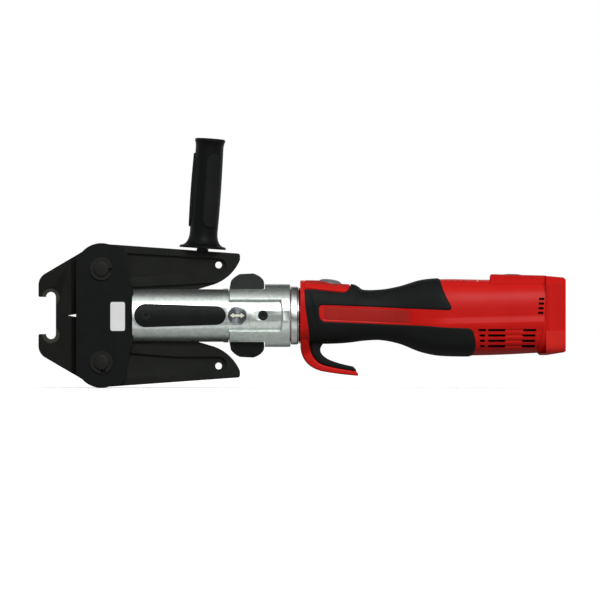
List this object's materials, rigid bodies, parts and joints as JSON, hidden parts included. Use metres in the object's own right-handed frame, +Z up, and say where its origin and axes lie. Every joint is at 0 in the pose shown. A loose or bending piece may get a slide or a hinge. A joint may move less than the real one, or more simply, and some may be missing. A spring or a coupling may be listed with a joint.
{
  "type": "press tool",
  "caption": "Inline battery press tool: hinged hook jaws driven by a ram, round coupling neck, side handle and a red and black grip housing with a rear battery dock.",
  "frame": {"origin": "on the tool axis, midway between the two hook seats", "axes": "+X along the tool axis from the hooks to the battery end, +Y across the tool, +Z up as held in the picture"},
  "size_m": [0.5532, 0.078, 0.2629],
  "materials": {
    "black_oxide": "black oxide steel",
    "pin_steel": "dark phosphated steel",
    "zinc": "bright zinc plated steel",
    "ground_steel": "ground steel",
    "spring_steel": "spring wire",
    "dark_steel": "black screws",
    "black_plastic": "fine texture",
    "black_rubber": "soft matt",
    "red_plastic": "satin red",
    "grey_plastic": "satin grey",
    "white_label": "blank",
    "bronze": "bearing bronze",
    "cast_aluminium": "cast",
    "motor_iron": "stacked iron",
    "board_green": "circuit board",
    "contact_brass": "contact brass"
  },
  "bodies": {
    "drive": {"neck_seal": "black_rubber", "swivel_bush": "bronze", "pump_body": "cast_aluminium", "pump_plunger": "ground_steel", "gear_case": "cast_aluminium", "motor_stator": "motor_iron", "motor_bearings": "ground_steel", "control_board": "board_green", "support_frames": "red_plastic", "housing_front": "red_plastic", "housing_rear": "red_plastic", "housing_screws": "dark_steel", "grip_front": "black_rubber", "grip_rear": "black_rubber", "nose_bezel": "red_plastic", "top_strap": "red_plastic", "finger_hook": "red_plastic", "hook_pad": "black_rubber", "switch_block": "black_plastic", "top_cover": "red_plastic", "battery_dock": "red_plastic", "terminals": "contact_brass"},
    "head": {"side_plate_front": "black_oxide", "side_plate_rear": "black_oxide", "jaw_pins": "pin_steel", "pin_clips": "pin_steel", "jaw_springs": "spring_steel", "blank_label": "white_label", "barrel": "zinc", "cover_strips": "black_plastic", "strip_screws": "dark_steel", "lock_spring": "spring_steel", "coupling_collar": "zinc", "upper_tab_spring": "spring_steel", "lower_tab_spring": "spring_steel", "cylinder_body": "zinc", "gland_screws": "dark_steel", "neck_ring": "zinc", "return_spring": "spring_steel"},
    "ram": {"ram_rod": "ground_steel", "piston": "ground_steel", "roller_carriage": "ground_steel", "roller_axles": "ground_steel"},
    "upper_roller": {"upper_roller": "ground_steel"},
    "lower_roller": {"lower_roller": "ground_steel"},
    "upper_arm": {"upper_jaw": "black_oxide", "handle_stud": "ground_steel", "handle_grip": "black_plastic", "handle_pads": "black_rubber"},
    "lower_arm": {"lower_jaw": "black_oxide"},
    "upper_tab": {"upper_tab": "black_plastic"},
    "lower_tab": {"lower_tab": "black_plastic"},
    "lock_button": {"lock_button": "dark_steel"},
    "thumb_button": {"thumb_button": "grey_plastic"},
    "rotor": {"motor_rotor": "ground_steel", "cooling_fan": "black_plastic"},
    "carrier": {"planet_carrier": "ground_steel"},
    "planet_1": {"planet_1": "ground_steel"},
    "planet_2": {"planet_2": "ground_steel"},
    "planet_3": {"planet_3": "ground_steel"}
  },
  "joints": [
    {"name": "head_swivel", "type": "hinge", "parent": "drive", "child": "head", "pos_m": [0.28, 0, 0], "axis": [1, 0, 0], "range_deg": [-135, 135]},
    {"name": "ram_slide", "type": "slide", "parent": "head", "child": "ram", "axis": [1, 0, 0], "range_m": [0, 0.036], "deforming": ["return_spring"]},
    {"name": "upper_roller_spin", "type": "hinge", "parent": "ram", "child": "upper_roller", "pos_m": [0.072, 0, 0.0123], "axis": [0, 1, 0], "continuous": true},
    {"name": "lower_roller_spin", "type": "hinge", "parent": "ram", "child": "lower_roller", "pos_m": [0.072, 0, -0.0123], "axis": [0, 1, 0], "continuous": true},
    {"name": "upper_jaw_hinge", "type": "hinge", "parent": "head", "child": "upper_arm", "pos_m": [0.053, 0, 0.049], "axis": [0, 1, 0], "range_deg": [0, 3.01]},
    {"name": "lower_jaw_hinge", "type": "hinge", "parent": "head", "child": "lower_arm", "pos_m": [0.053, 0, -0.049], "axis": [0, 1, 0], "range_deg": [-3.01, 0]},
    {"name": "upper_tab_press", "type": "slide", "parent": "head", "child": "upper_tab", "axis": [0, 0, -1], "range_m": [0, 0.002], "stiffness_N_per_m": 1500, "springref_m": -0.002, "deforming": ["upper_tab_spring"]},
    {"name": "lower_tab_press", "type": "slide", "parent": "head", "child": "lower_tab", "axis": [0, 0, 1], "range_m": [0, 0.002], "stiffness_N_per_m": 1500, "springref_m": -0.002, "deforming": ["lower_tab_spring"]},
    {"name": "lock_button_press", "type": "slide", "parent": "head", "child": "lock_button", "axis": [0, 1, 0], "range_m": [0, 0.0025], "stiffness_N_per_m": 1500, "springref_m": -0.002, "deforming": ["lock_spring"]},
    {"name": "thumb_button_press", "type": "slide", "parent": "drive", "child": "thumb_button", "axis": [-0.1219, 0, -0.9925], "range_m": [0, 0.0025], "stiffness_N_per_m": 1200, "springref_m": -0.002},
    {"name": "rotor_spin", "type": "hinge", "parent": "drive", "child": "rotor", "pos_m": [0.42, 0, 0], "axis": [1, 0, 0], "continuous": true},
    {"name": "carrier_spin", "type": "hinge", "parent": "drive", "child": "carrier", "pos_m": [0.36, 0, 0], "axis": [1, 0, 0], "continuous": true},
    {"name": "planet_1_spin", "type": "hinge", "parent": "carrier", "child": "planet_1", "pos_m": [0.367, 0, -0.0108], "axis": [1, 0, 0], "continuous": true},
    {"name": "planet_2_spin", "type": "hinge", "parent": "carrier", "child": "planet_2", "pos_m": [0.367, 0.00935, 0.0054], "axis": [1, 0, 0], "continuous": true},
    {"name": "planet_3_spin", "type": "hinge", "parent": "carrier", "child": "planet_3", "pos_m": [0.367, -0.00935, 0.0054], "axis": [1, 0, 0], "continuous": true}
  ],
  "couplings": [
    {"joint": "upper_jaw_hinge", "follows": "ram_slide", "rad_per_m": 1.4544},
    {"joint": "lower_jaw_hinge", "follows": "ram_slide", "rad_per_m": -1.4544},
    {"joint": "carrier_spin", "follows": "rotor_spin", "ratio": 0.22222},
    {"joint": "planet_1_spin", "follows": "rotor_spin", "ratio": -0.62222},
    {"joint": "planet_2_spin", "follows": "rotor_spin", "ratio": -0.62222},
    {"joint": "planet_3_spin", "follows": "rotor_spin", "ratio": -0.62222}
  ]
}
